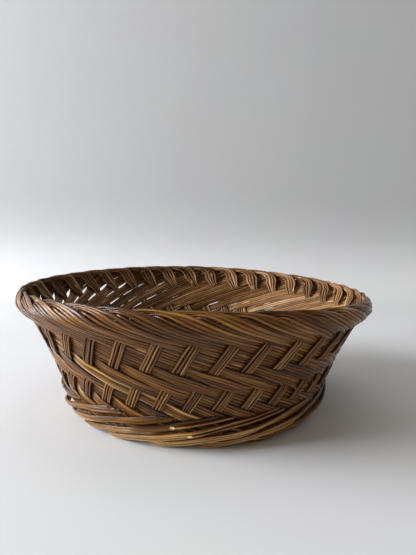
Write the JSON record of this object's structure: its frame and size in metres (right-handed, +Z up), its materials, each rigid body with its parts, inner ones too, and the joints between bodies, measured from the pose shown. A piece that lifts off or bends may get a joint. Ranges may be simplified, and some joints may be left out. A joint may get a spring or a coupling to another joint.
{
  "type": "round woven basket",
  "caption": "Shallow round basket plaited from bands of thin brown rattan rods, flared open wall, rolled rim, plaited foot and a flat woven base, for bread or fruit.",
  "frame": {"origin": "on the axis of the bowl, in the plane of the floor that the foot stands on", "axes": "+Z up along the axis of the bowl; -Y faces the viewer, +X to the viewer's right"},
  "size_m": [0.2674, 0.2674, 0.094],
  "materials": {
    "stakes": "satin",
    "base_sticks": "satin",
    "base_weavers": "satin"
  },
  "bodies": {
    "root": {"stake_01": "stakes", "stake_02": "stakes", "stake_03": "stakes", "stake_04": "stakes", "stake_05": "stakes", "stake_06": "stakes", "stake_07": "stakes", "stake_08": "stakes", "stake_09": "stakes", "stake_10": "stakes", "stake_11": "stakes", "stake_12": "stakes", "stake_13": "stakes", "stake_14": "stakes", "stake_15": "stakes", "stake_16": "stakes", "stake_17": "stakes", "stake_18": "stakes", "stake_19": "stakes", "stake_20": "stakes", "stake_21": "stakes", "stake_22": "stakes", "stake_23": "stakes", "stake_24": "stakes", "stake_25": "stakes", "stake_26": "stakes", "stake_27": "stakes", "stake_28": "stakes", "stake_29": "stakes", "stake_30": "stakes", "stake_31": "stakes", "stake_32": "stakes", "stake_33": "stakes", "stake_34": "stakes", "stake_35": "stakes", "stake_36": "stakes", "base_stick_01": "base_sticks", "base_stick_02": "base_sticks", "base_stick_03": "base_sticks", "base_stick_04": "base_sticks", "base_stick_05": "base_sticks", "base_stick_06": "base_sticks", "base_stick_07": "base_sticks", "base_stick_08": "base_sticks", "base_stick_09": "base_sticks", "base_weaver_a": "base_weavers", "base_weaver_b": "base_weavers"}
  },
  "joints": []
}
